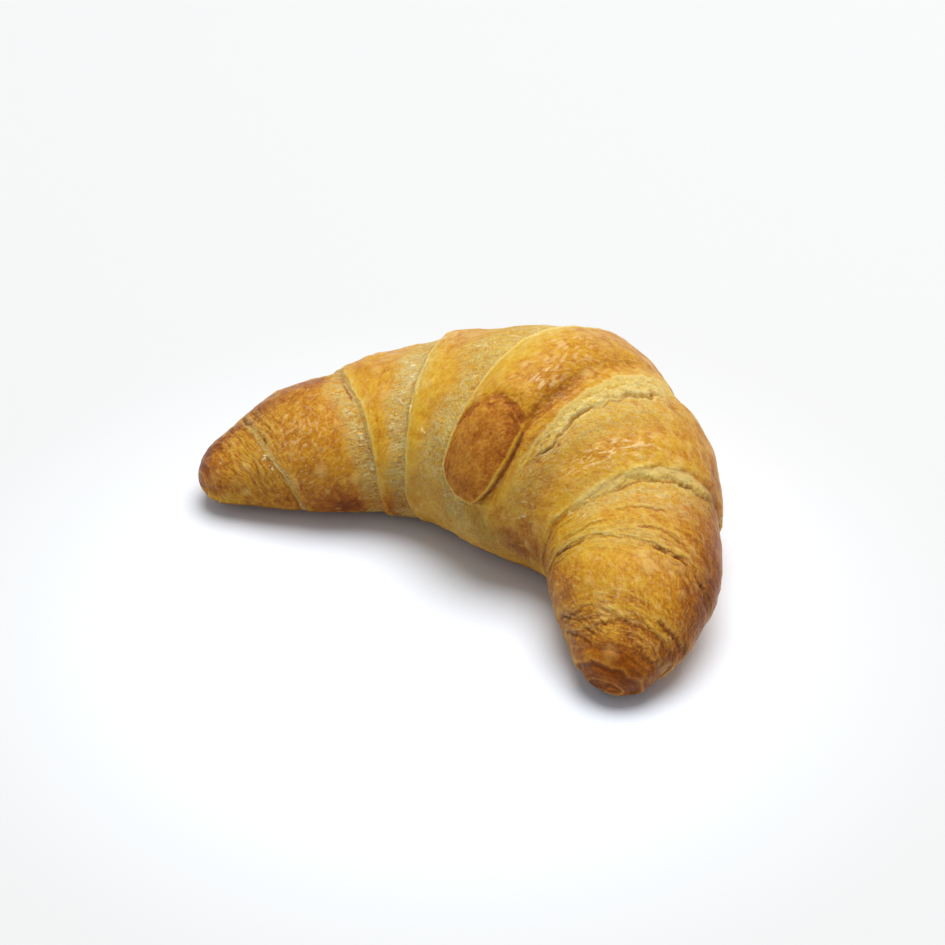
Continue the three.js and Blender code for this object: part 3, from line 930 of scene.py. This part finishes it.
def ridgesIn(tree, noise, low, high):  # thin lines along which the noise passes its middle
    away = mathIn(tree, "ABSOLUTE", mathIn(tree, "SUBTRACT", noise, 0.5))
    return rangeIn(tree, away, low, high, 1, 0)


def mixColourIn(tree, factor, first, second, blend="MIX"):
    node = nodeIn(tree, "ShaderNodeMix", data_type="RGBA", blend_type=blend)
    for socket, value in ((node.inputs[0], factor), (node.inputs[6], first), (node.inputs[7], second)):
        if isinstance(value, (int, float)):
            socket.default_value = value
        elif isinstance(value, tuple):
            socket.default_value = (*value, 1.0)
        else:
            tree.links.new(value, socket)
    return node.outputs[2]


crust = {
    "ramp": [              # colour of the dough by how far it is baked
        (0.00, (0.80, 0.60, 0.22)), (0.15, (0.73, 0.48, 0.09)), (0.32, (0.68, 0.39, 0.036)),
        (0.50, (0.60, 0.275, 0.018)), (0.66, (0.46, 0.168, 0.010)), (0.80, (0.33, 0.096, 0.005)),
        (1.00, (0.18, 0.042, 0.003)),
    ],
    "frayColour": (0.87, 0.69, 0.30),
    "shredColour": (0.93, 0.81, 0.50),
    "webColour": (0.97, 0.80, 0.45),
    "fleckColour": (0.78, 0.51, 0.19),
    # painted shade in cracks and crevices
    "crackShadeColour": (0.25, 0.085, 0.010),
    # painted highlight on glossy ridges and scales
    "paintedHighlightColour": (0.90, 0.66, 0.38),
    "mottle": 0.26,        # how much the baking varies over blotches of 2 to 3 mm
    "speckle": 0.20,
    "fibre": 0.18,
    "lines": 0.44,
    "paintedReliefShade": 0.30,        # painted shade in hollows, painted highlight on crests
    "web": 0.7,            # how much of its colour each mark shows
    "fleck": 0.45,
    "blister": 0.4,
    # how much painted highlight the scales show
    "paintedHighlight": 0.75,
    "fray": 0.7,
    # how much painted shade shows in cracks
    "crackShade": 0.75,
    "roughWashed": 0.38,   # under the egg wash
    "roughBare": 0.75,
    "bumpStrength": 0.7,
    "bumpDepth": 0.00030,  # metres
    "glow": 0.12,          # light that goes a little way into the dough
    "glowReach": (1.0, 0.45, 0.15),
    "glowScale": 0.0015,
    "gloss": 0.25,
    "glossTint": (1.0, 0.78, 0.46, 1.0),
}


def crustMasks(tree):                  # what the mesh says about each place of the skin
    masks = ("baked", "wash", "bare", "fray", "shred", "blister", "crackShade", "paintedReliefShade", "lined", "scale",
             "roomy")
    return {mask: attributeIn(tree, mask) for mask in masks}


# What is finer than the mesh. Each noise has its scale, detail, roughness and distortion: position is
# in metres, and the others are in millimetres.
def crustPatterns(tree, masks):
    position = nodeIn(tree, "ShaderNodeTexCoord").outputs["Object"]
    slanted = stretched(tree, attributeIn(tree, "dough", "Vector"), (1.0, 0.35, 1.0))
    strand = attributeIn(tree, "strand", "Vector")
    leaf = attributeIn(tree, "leaf", "Vector")
    fibre = mathIn(tree, "SUBTRACT", noiseIn(tree, slanted, 1.3, 4, 0.6, 0.6), 0.5)
    fleck = rangeIn(tree, noiseIn(tree, slanted, 0.9, 4, 0.6, 0.3), 0.56, 0.66, 0, 1)
    strands = noiseIn(tree, stretched(tree, strand, (0.2, 0.6, 1.0)), 1.0, 4, 0.6, 2.0)
    patches = noiseIn(tree, stretched(tree, strand, (0.22, 0.4, 1.0)), 1.0, 4, 0.6, 1.0)
    lines = noiseIn(tree, stretched(tree, leaf, (1.5, 0.14, 1.0)), 1.0, 4, 0.65, 0.4)
    return {
        "mottle": noiseIn(tree, position, 300, 5, 0.6, 0.5),
        "speckle": noiseIn(tree, position, 1500, 3, 0.6),
        "fibre": plus(tree, times(tree, fibre, masks["roomy"]), 0.5),
        "fleck": times(tree, fleck, masks["roomy"]),
        "web": ridgesIn(tree, noiseIn(tree, position, 430, 3, 0.6, 2.2), 0.0, 0.05),
        "strands": ridgesIn(tree, strands, 0.005, 0.045),
        "patches": rangeIn(tree, patches, 0.35, 0.7, 0, 1),
        "lines": times(tree, rangeIn(tree, lines, 0.3, 0.7, -0.5, 0.5), masks["lined"]),
    }


def bakedColour(tree, masks, patterns):
    level = plus(tree, masks["baked"], times(tree, patterns["lines"], crust["lines"]))
    golden = rangeIn(tree, patterns["patches"], 0, 1, 0.24, -0.08)
    level = plus(tree, level, times(tree, golden, masks["bare"]))
    for pattern in ("mottle", "speckle", "fibre"):
        size = crust[pattern]
        level = plus(tree, level, rangeIn(tree, patterns[pattern], 0.3, 0.7, -size / 2, size / 2))
    # painted shade in hollows and painted highlight on crests
    level = plus(tree, level, times(tree, masks["paintedReliefShade"], crust["paintedReliefShade"]), True)
    ramp = nodeIn(tree, "ShaderNodeValToRGB")
    stops = ramp.color_ramp.elements
    for number, (place, colour) in enumerate(crust["ramp"]):
        stop = stops[number] if number < 2 else stops.new(place)
        stop.position = place
        stop.color = (*colour, 1.0)
    tree.links.new(level, ramp.inputs["Fac"])
    return ramp.outputs["Color"]


def paleWeb(tree, masks, patterns):    # threads of raw dough that were pulled apart
    netted = mathIn(tree, "MAXIMUM", times(tree, patterns["web"], crust["web"]), patterns["strands"])
    netted = times(tree, netted, rangeIn(tree, patterns["patches"], 0, 1, 0.5, 1.1))
    return times(tree, netted, masks["bare"])


def crustMaterial():
    material = bpy.data.materials.new("bakedCrust")
    material.use_nodes = True
    tree = material.node_tree
    shader = tree.nodes["Principled BSDF"]
    masks = crustMasks(tree)
    patterns = crustPatterns(tree, masks)
    webby = paleWeb(tree, masks, patterns)

    colour = bakedColour(tree, masks, patterns)
    for shown, paint in (
            (webby, "webColour"),
            (times(tree, times(tree, patterns["fleck"], masks["wash"]), crust["fleck"]), "fleckColour"),
            (times(tree, masks["blister"], crust["blister"]), "fleckColour"),
            # painted highlight on the scales
            (times(tree, masks["scale"], crust["paintedHighlight"]), "paintedHighlightColour"),
            (times(tree, masks["fray"], crust["fray"], True), "frayColour"),
            (masks["shred"], "shredColour"),
            # painted shade in cracks and crevices
            (times(tree, masks["crackShade"], crust["crackShade"]), "crackShadeColour")):
        colour = mixColourIn(tree, shown, colour, crust[paint])
    colour = mixColourIn(tree, 1.0, colour, attributeIn(tree, "tint", "Vector"), "MULTIPLY")
    tree.links.new(colour, shader.inputs["Base Color"])

    rough = rangeIn(tree, masks["wash"], 0, 1, crust["roughBare"], crust["roughWashed"])
    rough = plus(tree, rough, rangeIn(tree, patterns["mottle"], 0.3, 0.7, -0.08, 0.08))
    tree.links.new(rough, shader.inputs["Roughness"])

    height = times(tree, patterns["speckle"], 0.5)
    for value, share in ((patterns["fibre"], 0.8), (webby, 1.2), (patterns["lines"], -2.0)):
        height = plus(tree, height, times(tree, value, share))
    raised = nodeIn(tree, "ShaderNodeBump", Strength=crust["bumpStrength"], Distance=crust["bumpDepth"])
    tree.links.new(height, raised.inputs["Height"])
    tree.links.new(raised.outputs["Normal"], shader.inputs["Normal"])

    shader.inputs["Subsurface Weight"].default_value = crust["glow"]
    shader.inputs["Subsurface Radius"].default_value = crust["glowReach"]
    shader.inputs["Subsurface Scale"].default_value = crust["glowScale"]
    shader.inputs["Specular IOR Level"].default_value = crust["gloss"]
    shader.inputs["Specular Tint"].default_value = crust["glossTint"]
    return material


croissantMesh.materials.append(crustMaterial())
print("crust material made")


setting = {                # metres, watts and degrees
    "floorSize": 8.0, "floorColour": (0.72, 0.72, 0.72),
    "paintedShadowLiftColour": (0.87, 0.905, 0.97),      # paler and cooler near the croissant: painted light lifting its shadow and offsetting its warm reflection
    "nearReach": 0.14, "nearMiddle": (0.010, -0.035, 0.0),
    "skyStrength": 0.42, "skyColour": (0.87, 0.94, 1.0, 1.0),
    "keySize": 2.2, "keyPower": 76.0, "keyColour": (1.0, 0.985, 0.965), "keyFrom": (-0.05, 0.5, 2.6),
    "azimuth": 38.0, "elevation": 37.0, "distance": 0.70, "lens": 107.2,
    "aim": (-0.0040, -0.0084, 0.020),
}


def makeFloor():
    half = setting["floorSize"] / 2
    corners = [(-half, -half, 0), (half, -half, 0), (half, half, 0), (-half, half, 0)]
    mesh = bpy.data.meshes.new("paleFloor")
    mesh.from_pydata(corners, [], [(0, 1, 2, 3)])
    floor = bpy.data.objects.new("paleFloor", mesh)
    bpy.context.scene.collection.objects.link(floor)
    material = bpy.data.materials.new("paleFloor")
    material.use_nodes = True
    tree = material.node_tree
    shader = tree.nodes["Principled BSDF"]
    place = nodeIn(tree, "ShaderNodeTexCoord").outputs["Object"]
    shrink = nodeIn(tree, "ShaderNodeMapping", vector_type="TEXTURE", Location=setting["nearMiddle"],
                    Scale=(setting["nearReach"],) * 3)
    tree.links.new(place, shrink.inputs["Vector"])
    near = nodeIn(tree, "ShaderNodeTexGradient", gradient_type="QUADRATIC_SPHERE")
    tree.links.new(shrink.outputs["Vector"], near.inputs["Vector"])
    near = rangeIn(tree, near.outputs["Fac"], 0.0, 0.3, 0, 1)
    # painted light: the floor is paler near the croissant, where its shadow falls
    colour = mixColourIn(tree, near, setting["floorColour"], setting["paintedShadowLiftColour"])
    tree.links.new(colour, shader.inputs["Base Color"])
    shader.inputs["Roughness"].default_value = 0.9
    shader.inputs["Specular IOR Level"].default_value = 0.1
    mesh.materials.append(material)


def makeLights():
    world = bpy.data.worlds.new("softStudio")
    bpy.context.scene.world = world
    world.use_nodes = True
    background = world.node_tree.nodes["Background"]
    background.inputs["Color"].default_value = setting["skyColour"]
    background.inputs["Strength"].default_value = setting["skyStrength"]
    light = bpy.data.lights.new("softbox", "AREA")
    light.shape = "DISK"
    light.size = setting["keySize"]
    light.energy = setting["keyPower"]
    light.color = setting["keyColour"]
    lamp = bpy.data.objects.new("softbox", light)
    lamp.location = setting["keyFrom"]
    lamp.rotation_euler = (-Vector(setting["keyFrom"])).to_track_quat("-Z", "Y").to_euler()
    bpy.context.scene.collection.objects.link(lamp)


def makeCamera():
    azimuth, elevation = math.radians(setting["azimuth"]), math.radians(setting["elevation"])
    level = math.cos(elevation)
    back = Vector((math.sin(azimuth) * level, -math.cos(azimuth) * level, math.sin(elevation)))
    camera = bpy.data.objects.new("camera", bpy.data.cameras.new("camera"))
    camera.data.lens = setting["lens"]
    camera.data.clip_start = 0.01
    camera.location = Vector(setting["aim"]) + back * setting["distance"]
    camera.rotation_euler = (-back).to_track_quat("-Z", "Y").to_euler()
    bpy.context.scene.collection.objects.link(camera)
    bpy.context.scene.camera = camera


makeFloor()
makeLights()
makeCamera()
bpy.context.scene.view_settings.view_transform = "Standard"

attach(croissant, "root")
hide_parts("croissant")
